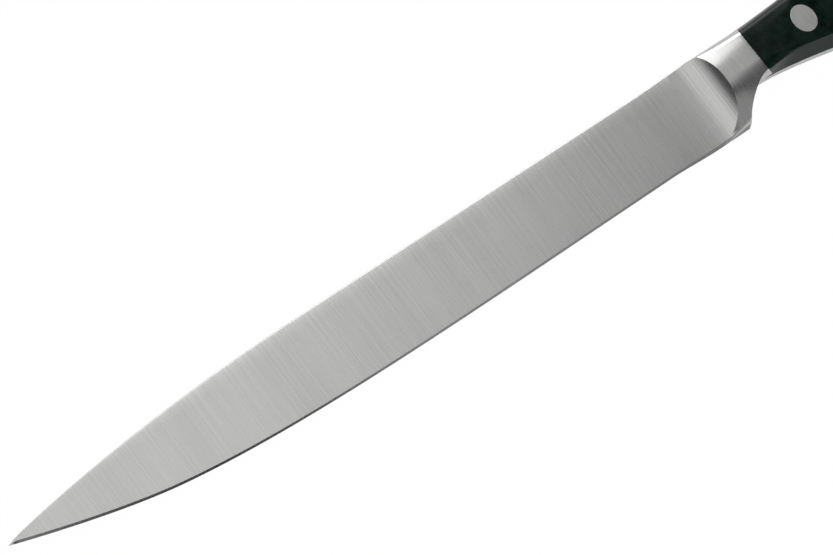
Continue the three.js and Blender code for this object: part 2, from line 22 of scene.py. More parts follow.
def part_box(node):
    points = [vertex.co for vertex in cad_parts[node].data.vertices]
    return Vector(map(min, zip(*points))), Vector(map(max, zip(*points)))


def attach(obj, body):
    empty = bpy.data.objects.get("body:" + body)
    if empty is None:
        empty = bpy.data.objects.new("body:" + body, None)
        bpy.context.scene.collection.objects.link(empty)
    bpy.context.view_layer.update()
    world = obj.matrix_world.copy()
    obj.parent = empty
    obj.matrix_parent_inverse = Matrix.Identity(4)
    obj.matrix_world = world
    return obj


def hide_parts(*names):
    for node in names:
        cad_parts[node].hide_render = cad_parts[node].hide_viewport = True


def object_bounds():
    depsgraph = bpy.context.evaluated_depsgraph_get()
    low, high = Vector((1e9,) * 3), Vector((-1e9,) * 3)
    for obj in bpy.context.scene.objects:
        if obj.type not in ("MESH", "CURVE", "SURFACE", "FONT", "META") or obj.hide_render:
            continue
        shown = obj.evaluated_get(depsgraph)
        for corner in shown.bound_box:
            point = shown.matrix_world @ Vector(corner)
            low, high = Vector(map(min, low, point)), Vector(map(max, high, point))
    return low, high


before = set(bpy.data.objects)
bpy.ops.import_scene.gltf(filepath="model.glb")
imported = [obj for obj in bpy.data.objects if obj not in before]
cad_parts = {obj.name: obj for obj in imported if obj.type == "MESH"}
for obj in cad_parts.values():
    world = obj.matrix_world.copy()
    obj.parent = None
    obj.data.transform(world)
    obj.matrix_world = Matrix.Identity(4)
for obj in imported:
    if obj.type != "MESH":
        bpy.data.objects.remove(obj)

LOG = logging.getLogger("fillet_knife")
BODY = "root"
MM = 0.001
MERGE_DISTANCE = 0.001 * MM
QUARTER_TURN = math.pi / 2
BEND_SHARE = 2 / 3
SOLVE_STEPS = 30
CAD_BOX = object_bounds()

Ring = list[Vector]
Pair = tuple[float, float]
Profile = list[Pair]
Triple = tuple[float, float, float]
Mesh = bmesh.types.BMesh
Loop = Sequence[bmesh.types.BMVert]
Piece = bpy.types.Object
Material = bpy.types.Material


def mix(low: float, high: float, share: float) -> float:
    """Value at a share of the way from low to high."""
    return low + (high - low) * share


def clamp(value: float) -> float:
    """Value kept between 0 and 1."""
    return min(max(value, 0.0), 1.0)


def ease(value: float, low: float, high: float) -> float:
    """Smooth step from 0 at low to 1 at high."""
    share = clamp((value - low) / (high - low))
    return share * share * (3.0 - 2.0 * share)


def rounding(radius: float, share: float) -> float:
    """How far a quarter round draws in at a share of its width."""
    return radius * (1.0 - math.sqrt(1.0 - clamp(share) ** 2))


def flat(x: float, y: float) -> Vector:
    """Point of the drawing on the middle plane of the steel."""
    return Vector((x, y, 0.0))


def mirrored(left: Ring) -> Ring:
    """Right side of a ring whose left side is given, in the order that closes it."""
    return [Vector((spot.x, spot.y, -spot.z)) for spot in reversed(left)]


def along(start: Vector, run: float, slope: float = 0.0) -> Vector:
    """Point at a run along x from another one, on a slope."""
    return flat(start.x + run, start.y + run * slope)


def solve(measure: Callable[[float], float], value: float, low: float, high: float) -> float:
    """Place between two others where a rising measure reaches a value.

    Args:
        measure: What rises from the first place to the other.
        value: The value wanted.
        low: The first place.
        high: The other place.

    Returns:
        The place.
    """
    near, far = low, high
    for _ in range(SOLVE_STEPS):
        middle = (near + far) / 2.0
        if measure(middle) < value:
            near = middle
        else:
            far = middle
    return near


def parabola(start: Vector, bend: Vector, end: Vector, steps: int) -> list[Vector]:
    """Points of a curve whose end tangents meet in a bend."""
    return interpolate_bezier(start, start.lerp(bend, BEND_SHARE), end.lerp(bend, BEND_SHARE), end, steps)


def new_object(name: str, mesh: Mesh) -> Piece:
    """Turn a mesh in the making into an object of the scene.

    Args:
        name: The object's name.
        mesh: The mesh, which is used up.

    Returns:
        The new object.
    """
    data = bpy.data.meshes.new(name)
    mesh.to_mesh(data)
    mesh.free()
    piece = bpy.data.objects.new(name, data)
    bpy.context.scene.collection.objects.link(piece)
    return piece


class Line:
    """A sampled outline that gives its height at any x."""

    def __init__(self, points: Sequence[Vector]) -> None:
        """Keep the points in order of x."""
        self.points = sorted(points, key=lambda spot: spot.x)
        self.stations = [spot.x for spot in self.points]

    def height(self, x: float) -> float:
        """Height of the line at a place, level beyond its ends.

        Args:
            x: The place.

        Returns:
            The height.
        """
        after = bisect_right(self.stations, x)
        if after == 0:
            return self.points[0].y
        if after == len(self.points):
            return self.points[-1].y
        low, high = self.points[after - 1], self.points[after]
        return mix(low.y, high.y, (x - low.x) / (high.x - low.x))


class Operation(Enum):
    """How a tool changes a piece."""

    JOIN = "UNION"
    CUT = "DIFFERENCE"


class Side(Enum):
    """Side of the knife, by the sign of z."""

    LEFT = 1.0
    RIGHT = -1.0


class Place(Enum):
    """Where a rivet sits along the handle."""

    FRONT = "front"
    MIDDLE = "middle"
    REAR = "rear"


@dataclass(frozen=True)
class Drawing:
    """Turns the drawing's millimetres into the frame's metres."""

    heel: Vector

    def place(self, spot: Vector) -> Vector:
        """Place of a drawn point in the frame."""
        return self.heel + spot * MM


class Shop:
    """Makes meshes out of drawn rings and profiles, joins them and dresses them."""

    SHARP_ANGLE = math.radians(32)

    def __init__(self, drawing: Drawing) -> None:
        """Keep the drawing that places what is made."""
        self.drawing = drawing

    def loft(self, rings: Sequence[Ring]) -> Mesh:
        """Skin a stack of closed rings and close both ends.

        Args:
            rings: Rings with equal counts, in drawing millimetres.

        Returns:
            A closed mesh with its faces pointing out.
        """
        mesh = bmesh.new()
        loop = bmesh.ops.create_circle(mesh, segments=len(rings[0]), radius=MM)["verts"]
        self._move(loop, rings[0])
        self._cap(mesh, loop)
        for ring in rings[1:]:
            loop = self._extruded(mesh, loop)
            self._move(loop, ring)
        self._cap(mesh, loop)
        bmesh.ops.recalc_face_normals(mesh, faces=mesh.faces)
        return mesh

    def turned(self, profile: Profile, centre: Vector, steps: int) -> Mesh:
        """Spin a profile round an upright axis.

        Args:
            profile: Radius and height pairs that start and end on the axis.
            centre: Where the axis stands.
            steps: Count of faces round the axis.

        Returns:
            A closed mesh with its faces pointing out.
        """
        mesh = bmesh.new()
        axis = self.drawing.place(centre)
        verts = []
        for radius, height in profile:
            verts.append(mesh.verts.new(self.drawing.place(centre + Vector((radius, 0.0, height)))))
        edges = [mesh.edges.new(pair) for pair in zip(verts, verts[1:])]
        bmesh.ops.spin(
            mesh,
            geom=verts + edges,
            cent=axis,
            axis=Vector((0.0, 0.0, 1.0)),
            angle=2.0 * math.pi,
            steps=steps,
            use_merge=True,
        )
        bmesh.ops.remove_doubles(mesh, verts=mesh.verts, dist=MERGE_DISTANCE)
        bmesh.ops.recalc_face_normals(mesh, faces=mesh.faces)
        return mesh

    def combine(self, piece: Piece, tool: Piece, operation: Operation) -> None:
        """Join a tool to a piece or cut it out of it, and use the tool up.

        Args:
            piece: The object that is changed.
            tool: The object that joins or cuts it.
            operation: Whether it joins or cuts.
        """
        modifier = piece.modifiers.new(operation.name, "BOOLEAN")
        modifier.operation = operation.value
        modifier.solver = "EXACT"
        modifier.object = tool
        graph = bpy.context.evaluated_depsgraph_get()
        made = bpy.data.meshes.new_from_object(piece.evaluated_get(graph))
        piece.modifiers.clear()
        used = [piece.data, tool.data]
        piece.data = made
        piece.data.name = piece.name
        bpy.data.objects.remove(tool)
        for data in used:
            bpy.data.meshes.remove(data)

    def dress(self, piece: Piece, *finishes: Material) -> None:
        """Shade a piece smooth between its sharp edges and give it its finishes.

        Args:
            piece: The piece.
            finishes: Its materials, in the order of their slots.
        """
        piece.data.shade_smooth()
        piece.data.set_sharp_from_angle(angle=self.SHARP_ANGLE)
        piece.data.materials.clear()
        for finish in finishes:
            piece.data.materials.append(finish)

    def _move(self, loop: Loop, ring: Ring) -> None:
        """Put the vertices of a loop on the points of a ring."""
        for vert, spot in zip(loop, ring):
            vert.co = self.drawing.place(spot)

    def _extruded(self, mesh: Mesh, loop: Loop) -> Loop:
        """Pull a new loop out of the last one.

        Args:
            mesh: The mesh in the making.
            loop: Vertices of its open loop, in order.

        Returns:
            The new loop's vertices, in the same order.
        """
        pulled = bmesh.ops.extrude_edge_only(mesh, edges=self._rim(mesh, loop))["geom"]
        fresh = {item for item in pulled if isinstance(item, bmesh.types.BMVert)}
        follow = []
        for vert in loop:
            follow.append(next(o for o in (e.other_vert(vert) for e in vert.link_edges) if o in fresh))
        return follow

    def _rim(self, mesh: Mesh, loop: Loop) -> list[bmesh.types.BMEdge]:
        """Edges of a closed loop of vertices."""
        return [mesh.edges.get((a, b)) for a, b in zip(loop, [*loop[1:], loop[0]])]

    def _cap(self, mesh: Mesh, loop: Loop) -> None:
        """Close an open loop with one face."""
        bmesh.ops.edgeloop_fill(mesh, edges=self._rim(mesh, loop))


@dataclass(frozen=True)
class Blade:
    """The ground blade: a wedge from an eased spine down to a finely ground edge."""

    length: float = 199.6
    height: float = 19.0
    spine_thickness: float = 1.95
    edge_thickness: float = 0.3
    bevel_height: float = 0.45
    tip_bevel: float = 0.15
    tip_bevel_start: float = 120.0
    heel_bevel_share: float = 0.6
    spine_round: float = 0.25
    round_width_share: float = 0.4
    round_depth_share: float = 0.3
    tip_drop: float = 6.55
    tip_blunt: float = 0.12
    spine_straight: float = 119.0
    spine_reach: float = 31.0
    spine_lead: float = 17.0
    spine_slope: float = 0.159
    tip_turn: float = 4.6
    tip_turn_drop: float = 1.1
    tip_reach: float = 1.3
    edge_straight: float = 55.0
    edge_reach: float = 44.5
    edge_bend: float = 38.6
    edge_bend_rise: float = 3.7
    edge_bend_slope: float = 0.131
    edge_bend_lead: float = 26.0
    edge_bend_reach: float = 11.0
    edge_tip_lead: float = 12.6
    edge_tip_slope: float = 0.29
    heel_run: float = 20.0
    heel_flat: float = 4.0
    heel_drop: float = 0.5
    spine_run: float = 16.0
    spine_rise: float = 0.3
    flare_run: float = 13.0
    flare_radius: float = 240.0
    turn_run: float = 5.0
    turn_radius: float = 80.0
    flare_end: float = 1.95
    root_spine: float = 9.0
    root_edge: float = 3.25
    root_dip: float = 0.8
    heel_stations: int = 24
    straight_stations: int = 14
    curved_stations: int = 110
    round_steps: int = 4
    face_steps: int = 6
    crease: float = 0.05
    crease_share: float = 0.25
    curve_steps: int = 160

    @property
    def tip(self) -> Vector:
        """The blade's point."""
        return flat(-self.length, -self.tip_drop)

    @property
    def half_edge(self) -> float:
        """Half thickness at the shoulder of the ground edge."""
        return self.edge_thickness / 2.0

    @property
    def wedge(self) -> float:
        """Growth of the half thickness for each millimetre above the shoulder."""
        return (self.spine_thickness / 2.0 - self.half_edge) / (self.height - self.bevel_height)

    @cached_property
    def spine(self) -> Line:
        """Spine from the root to the tip, before its rise at the heel."""
        start = flat(-self.spine_straight, 0.0)
        turn = flat(self.tip.x + self.tip_turn, self.tip.y + self.tip_turn_drop)
        bend = along(turn, self.tip_reach - self.tip_turn, self.spine_slope)
        lead = along(turn, self.spine_lead, self.spine_slope)
        curve = interpolate_bezier(start, along(start, -self.spine_reach), lead, turn, self.curve_steps)
        last = parabola(turn, bend, self.tip, self.curve_steps)
        return Line([flat(0.0, 0.0), *curve, *last[1:]])

    @cached_property
    def edge(self) -> Line:
        """Edge from the heel to the tip, before its drop at the heel."""
        start = flat(-self.edge_straight, -self.height)
        middle = flat(self.tip.x + self.edge_bend, -self.height + self.edge_bend_rise)
        lead = along(middle, self.edge_bend_lead, -self.edge_bend_slope)
        reach = along(middle, -self.edge_bend_reach, -self.edge_bend_slope)
        last = along(self.tip, self.edge_tip_lead, -self.edge_tip_slope)
        sweep = interpolate_bezier(start, along(start, -self.edge_reach), lead, middle, self.curve_steps)
        belly = interpolate_bezier(middle, reach, last, self.tip, self.curve_steps)
        return Line([flat(0.0, -self.height), *sweep, *belly[1:]])

    def half(self, above_shoulder: float) -> float:
        """Half thickness at a height above the shoulder."""
        return self.half_edge + max(above_shoulder, 0.0) * self.wedge

    def flare(self, x: float) -> float:
        """How much the side swells before the heel, where it starts to turn into the bolster.

        Args:
            x: Place along the knife.

        Returns:
            What the swelling adds to the half thickness.
        """
        place = min(x, -self.flare_end)
        run, turn = max(place + self.flare_run, 0.0), max(place + self.turn_run, 0.0)
        return (run**2 / self.flare_radius + turn**2 / self.turn_radius) / 2.0

    @property
    def flare_slope(self) -> float:
        """Slope of the swollen side where the bolster takes over."""
        run, turn = self.flare_run - self.flare_end, self.turn_run - self.flare_end
        return run / self.flare_radius + turn / self.turn_radius

    def heights(self, spine_x: float, edge_x: float) -> Triple:
        """Heights of a section, with the rise and the drop near the heel.

        Args:
            spine_x: Where the section lies at the spine.
            edge_x: Where it lies at the edge.

        Returns:
            Heights of the spine, of the shoulder of the ground edge and of the edge.
        """
        spine_y = self.spine.height(spine_x) + self.spine_rise * ease(spine_x, -self.spine_run, 0.0)
        edge_y = self.edge.height(edge_x)
        drop = self.heel_drop * ease(edge_x, -self.heel_run, -self.heel_flat)
        bevel = self.bevel_height + self.tip_bevel * ease(-edge_x, self.tip_bevel_start, self.length)
        bevel = min(bevel - drop * self.heel_bevel_share, (spine_y - edge_y) / 2.0)
        return spine_y, edge_y + bevel, edge_y - drop

    def half_at(self, x: float, y: float) -> float:
        """Half thickness at a place near the heel.

        Args:
            x: Place along the knife.
            y: Height, from the edge to the spine.

        Returns:
            The half thickness.
        """
        spine_y, shoulder_y, edge_y = self.heights(x, x)
        if y < shoulder_y:
            return (self.half_edge + self.flare(x)) * max(y - edge_y, 0.0) / (shoulder_y - edge_y)
        round_y = spine_y - self.spine_round
        above = min(max(y - round_y, 0.0), self.spine_round)
        eased = self.spine_round - math.sqrt(self.spine_round**2 - above**2)
        return self.half(min(y, round_y) - shoulder_y) - eased + self.flare(x)

    def section(self, spine_x: float, edge_x: float, heights: Triple) -> Ring:
        """Ring round the blade: eased spine, flat side, shoulder, edge and the same back up.

        Args:
            spine_x: Where the section lies at the spine.
            edge_x: Where it lies at the edge.
            heights: Heights of the spine, of the shoulder of the ground edge and of the edge.

        Returns:
            The ring, from the left side of the spine.
        """
        spine_y, shoulder_y, edge_y = heights
        depth = spine_y - shoulder_y
        widest = self.round_width_share * self.half(depth)
        ease_radius = min(self.spine_round, widest, self.round_depth_share * depth)
        side = []
        top = self.half(depth - ease_radius) - ease_radius
        for step in range(self.round_steps):
            angle = QUARTER_TURN * (1.0 - step / self.round_steps)
            y = spine_y - ease_radius * (1.0 - math.sin(angle))
            side.append((y, top + ease_radius * math.cos(angle)))
        for step in range(self.face_steps + 1):
            y = mix(spine_y - ease_radius, shoulder_y, step / self.face_steps)
            side.append((y, self.half(y - shoulder_y)))
        crease = min(self.crease, (shoulder_y - edge_y) * self.crease_share)
        side.insert(-1, (shoulder_y + crease, self.half(crease)))
        side.append((shoulder_y - crease, self.half_edge * (1.0 - crease / (shoulder_y - edge_y))))
        left = []
        for y, z in side:
            x = mix(edge_x, spine_x, max(y - shoulder_y, 0.0) / depth)
            swollen = self.flare(x) * min((y - edge_y) / (shoulder_y - edge_y), 1.0)
            left.append(Vector((x, y, z + swollen)))
        return [*left, flat(edge_x, edge_y), *mirrored(left)]

    def rings(self) -> list[Ring]:
        """Work out the blade's rings.

        Returns:
            Rings from the root inside the bolster to the tip.
        """
        stations = [-self.heel_run * step / self.heel_stations for step in range(self.heel_stations)]
        for step in range(self.straight_stations):
            stations.append(mix(-self.heel_run, -self.edge_straight, step / self.straight_stations))
        for step in range(self.curved_stations):
            share = math.sin(QUARTER_TURN * step / self.curved_stations)
            stations.append(mix(-self.edge_straight, -self.length, share))
        blunt = self.tip_blunt / 2.0
        tip = self.tip
        end = self.section(tip.x, tip.x, (tip.y + blunt, tip.y, tip.y - blunt))
        spine_y, shoulder_y, edge_y = self.heights(self.root_spine, self.root_edge)
        dip = self.root_dip
        root = self.section(self.root_spine, self.root_edge, (spine_y - dip, shoulder_y + dip, edge_y + dip))
        return [root, *(self.section(x, x, self.heights(x, x)) for x in stations), end]


@dataclass(frozen=True)
class Section:
    """The barrel-shaped section at the joint, which bolster and scales share."""

    half: float = 5.5
    half_tang: float = 1.25
    joint_x: float = 15.9
    joint_run: float = 3.7
    spine_y: float = 0.3
    belly_y: float = -12.4
    belly_crown: float = 1.0
    crown_depth: float = 8.8
    crown_share: float = 0.2
    crown_power: float = 20.0
    belly_crest: float = -8.5
    belly_taper: float = 0.125
    belly_power: float = 1.25

    @property
    def joint_slope(self) -> float:
        """How far back the joint runs for each millimetre towards the tang."""
        return self.joint_run / (self.half - self.half_tang)

    def crown_drop(self, half: float) -> float:
        """How far below the spine the section is a given half thickness."""
        wide = half / self.half
        return self.crown_depth * mix(wide**self.crown_power, wide**2, self.crown_share)

    def crown_half(self, y: float) -> float:
        """Half thickness at a height, towards the spine."""
        return solve(self.crown_drop, self.spine_y - y, 0.0, self.half)

    def belly_half(self, y: float) -> float:
        """Half thickness at a height, towards the foot."""
        return self.half - self.belly_taper * max(self.belly_crest - y, 0.0) ** self.belly_power

    def belly_drop(self, half: float) -> float:
        """How far above the belly the section is a given half thickness, at least by the belly's crown."""
        below = (max(self.half - half, 0.0) / self.belly_taper) ** (1.0 / self.belly_power)
        return max(self.belly_crest - below - self.belly_y, self.belly_crown * (half / self.half) ** 2)

    def full(self, y: float) -> float:
        """Half thickness at any height."""
        return min(self.crown_half(y), self.belly_half(y))


@dataclass(frozen=True)
class Bolster:
    """The forged collar between blade and handle, with its heel foot and finger hollow."""

    section: Section = Section()
    length: float = Section.joint_x
    rise: float = Section.spine_y
    foot_y: float = -19.5
    foot_length: float = 5.95
    foot_round: float = 0.4
    foot_half: float = 0.1
    facet_slopes: Triple = (1.8, 1.02, 0.68)
    facet_front: Pair = (0.3, 0.8)
    facet_rear: Pair = (0.7, 1.8)
    blend_front: float = 0.2
    blend_rear: float = 0.7
    rear_round: float = 0.4
    rear_round_top: float = Section.belly_y
    rear_round_full: float = -18.5
    front_half: float = 4.6
    front_narrowing: float = 1.7
    front_crest: float = -6.5
    front_end: float = -18.9
    front_power: float = 2.35
    seam_x: float = -4.0
    seam_steps: int = 6
    cover: float = 0.004
    hollow_radius: float = 10.4
    least_rise: float = 0.34
    side_power: float = 1.3
    foot_side_power: float = 1.7
    side_blend_top: float = -10.0
    side_blend_foot: float = -15.5
    throat_radius: float = 10.5
    throat_blend: float = 9.0
    belly_y: float = Section.belly_y
    belly_crown: float = Section.belly_crown
    half_handle: float = Section.half
    half_tang: float = Section.half_tang
    embed: float = 0.03
    hollow_steps: int = 24
    side_steps: int = 48
    rear_steps: int = 12
    throat_levels: int = 90
    belly_levels: int = 8
    side_levels: int = 8
    crown_levels: int = 40
    level_power: float = 2.5

    @property
    def throat_y(self) -> float:
        """Height of the middle of the throat's arc."""
        return self.belly_y - self.throat_radius

    @property
    def throat_end(self) -> float:
        """Where the throat's arc reaches the handle's belly."""
        return self.foot_length + math.sqrt(self.throat_radius**2 - (self.foot_y - self.throat_y) ** 2)

    def seam(self, y: float, blade: Blade) -> float:
        """Where a level cut takes the blade's surface over."""
        rise = solve(lambda x: blade.heights(x, x)[0], y, self.seam_x, 0.0)
        return max(rise, self.seam_x)

    def front_top(self, y: float, blade: Blade) -> float:
        """Half thickness along the front edge, fullest under the spine and thin at the foot.

        Args:
            y: Height of the cut.
            blade: The blade that the front edge stands over.

        Returns:
            The half thickness.
        """
        below = max((self.front_crest - y) / (self.front_crest - self.front_end), 0.0)
        above = max((y - self.front_crest) / (self.rise - self.front_crest), 0.0)
        top = self.front_half - (self.front_half - blade.half_edge) * below**self.front_power
        top -= self.front_narrowing * above**2
        return min(top + blade.flare(-blade.flare_end), self.section.crown_half(y))

    def throat_top(self, x: float, z: float) -> float:
        """Height of the finger hollow, crowned like the belly where it nears the handle.

        Args:
            x: Place along the knife.
            z: Distance from the middle of the steel.

        Returns:
            The height.
        """
        arc = self.throat_y + math.sqrt(max(self.throat_radius**2 - (x - self.throat_end) ** 2, 0.0))
        crown = self.belly_crown * (z / self.half_handle) ** 2
        return arc + crown * ease(x, self.throat_blend, self.throat_end)

    def throat_x(self, y: float, z: float, half: float) -> float:
        """Rear face of the heel foot and the finger hollow above it, eased along its edges.

        Args:
            y: Height of the cut.
            z: Distance from the middle of the steel.
            half: Half thickness of the cut where it ends.

        Returns:
            How far back the steel reaches there.
        """
        reach = solve(lambda x: self.throat_top(x, z), y, self.foot_length, self.throat_end)
        reach -= rounding(self.foot_round, 1.0 - (y - self.foot_y) / self.foot_round)
        eased = min(self.rear_round, half) * ease(y, self.rear_round_top, self.rear_round_full)
        return reach if eased < self.cover else reach - rounding(eased, 1.0 - (half - z) / eased)

    def joint_x(self, half: float) -> float:
        """Slanted joint to the scales at a distance from the middle of the steel."""
        return self.length + (self.half_handle - half) * self.section.joint_slope

    def trimmed(self, half: float, x: float, y: float) -> float:
        """Half thickness that the two facets along the bottom of the foot leave.

        Args:
            half: Half thickness before the facets are cut.
            x: Place along the knife.
            y: Height of the cut.

        Returns:
            The half thickness, softened where a facet begins.
        """
        back = clamp(x / self.foot_length)
        low, high = (mix(front, rear, back) for front, rear in zip(self.facet_front, self.facet_rear))
        above = max(y - self.foot_y, 0.0)
        rises = (min(above, low), min(max(above - low, 0.0), high - low), max(above - high, 0.0))
        facet = self.foot_half + sum(rise * slope for rise, slope in zip(rises, self.facet_slopes))
        blend = mix(self.blend_front, self.blend_rear, back)
        near = max(blend - abs(half - facet), 0.0)
        return max(min(half, facet) - near**2 / (4.0 * blend), self.cover)

    def side_half(self, x: float, y: float, front: float, top: float) -> float:
        """Half thickness of the side at a place behind the front edge.

        Args:
            x: Place along the knife.
            y: Height of the cut.
            front: Where the front edge lies at that height.
            top: Half thickness at the front edge.

        Returns:
            The half thickness.
        """
        power = mix(self.foot_side_power, self.side_power, ease(y, self.side_blend_foot, self.side_blend_top))
        grown = clamp((x - front) / (self.length - front))
        swollen = mix(top, self.section.full(y), 1.0 - (1.0 - grown) ** power)
        return self.trimmed(swollen, x, y)

    def rear(self, y: float, front: float, top: float) -> Profile:
        """Rear of a level cut, from the side to the middle: throat, joint or both.

        Args:
            y: Height of the cut.
            front: Where the front edge lies at that height.
            top: Half thickness at the front edge.

        Returns:
            Pairs of x and half thickness.
        """
        joint_top = self.half_handle * math.sqrt(clamp((y - self.belly_y) / self.belly_crown))
        half = self.half_handle
        for _ in range(SOLVE_STEPS):
            end = self.throat_x(y, half, half) if half > joint_top else self.joint_x(half)
            half = self.side_half(end, y, front, top)
        turn = min(max(joint_top, 2.0 * self.embed), half - self.embed)
        neck = min(self.half_tang, turn) - self.embed
        outer_joined, inner_joined = half <= joint_top, y > self.belly_y
        spots = []
        for step in range(self.rear_steps):
            z = mix(half, turn, (step / (self.rear_steps - 1)) ** 2)
            spots.append((self.joint_x(z) if outer_joined else self.throat_x(y, z, half), z))
        for step in range(self.rear_steps):
            parted = inner_joined and not outer_joined
            share = step / (self.rear_steps - 1) if parted else (step + 1) / self.rear_steps
            z = mix(turn, neck, share)
            spots.append((self.joint_x(z) if inner_joined else self.throat_x(y, z, half), z))
        return spots

    def level(self, y: float, blade: Blade) -> Ring:
        """Ring of a level cut: hollow front, full side, and the throat or the joint behind.

        Args:
            y: Height of the cut.
            blade: The blade that the hollow runs out on.

        Returns:
            The ring, from the front of the left side.
        """
        toe = -blade.flare_end
        base = blade.half_at(toe, y) + self.cover
        top = max(self.front_top(y, blade), base + self.least_rise)
        first = math.atan(blade.flare_slope)
        last = math.acos(math.cos(first) - (top - base) / self.hollow_radius)
        front = toe + self.hollow_radius * (math.sin(last) - math.sin(first))
        seam = min(self.seam(y, blade), toe)
        side = []
        for step in range(self.seam_steps):
            x = mix(seam, toe, step / self.seam_steps)
            side.append((x, blade.half_at(x, y) + self.cover))
        for step in range(self.hollow_steps + 1):
            angle = mix(first, last, step / self.hollow_steps)
            x = toe + self.hollow_radius * (math.sin(angle) - math.sin(first))
            half = base + self.hollow_radius * (math.cos(first) - math.cos(angle))
            side.append((x, max(self.trimmed(half, x, y), base)))
        rear = self.rear(y, front, top)
        for step in range(1, self.side_steps):
            x = mix(front, rear[0][0], step / self.side_steps)
            side.append((x, self.side_half(x, y, front, top)))
        side += rear
        left = [Vector((x, y, z)) for x, z in side]
        return [*left, *mirrored(left)]

    def rings(self, blade: Blade) -> list[Ring]:
        """Work out the bolster's level rings.

        Args:
            blade: The blade that the bolster grows out of.

        Returns:
            Rings from the foot up to the crown of the spine.
        """
        levels = []
        for step in range(self.throat_levels + 1):
            share = (1.0 - math.cos(math.pi * step / self.throat_levels)) / 2.0
            levels.append(mix(self.foot_y - self.cover, self.belly_y, share))
        depth = self.section.crown_depth
        low, high = self.belly_y + self.belly_crown, self.rise - depth
        for step in range(1, self.belly_levels):
            levels.append(mix(self.belly_y, low, (step / self.belly_levels) ** 2))
        levels += [mix(low, high, step / self.side_levels) for step in range(self.side_levels + 1)]
        for step in range(1, self.crown_levels + 1):
            below = depth * (1.0 - step / self.crown_levels) ** self.level_power
            levels.append(self.rise - below - self.embed)
        return [self.level(y, blade) for y in levels]


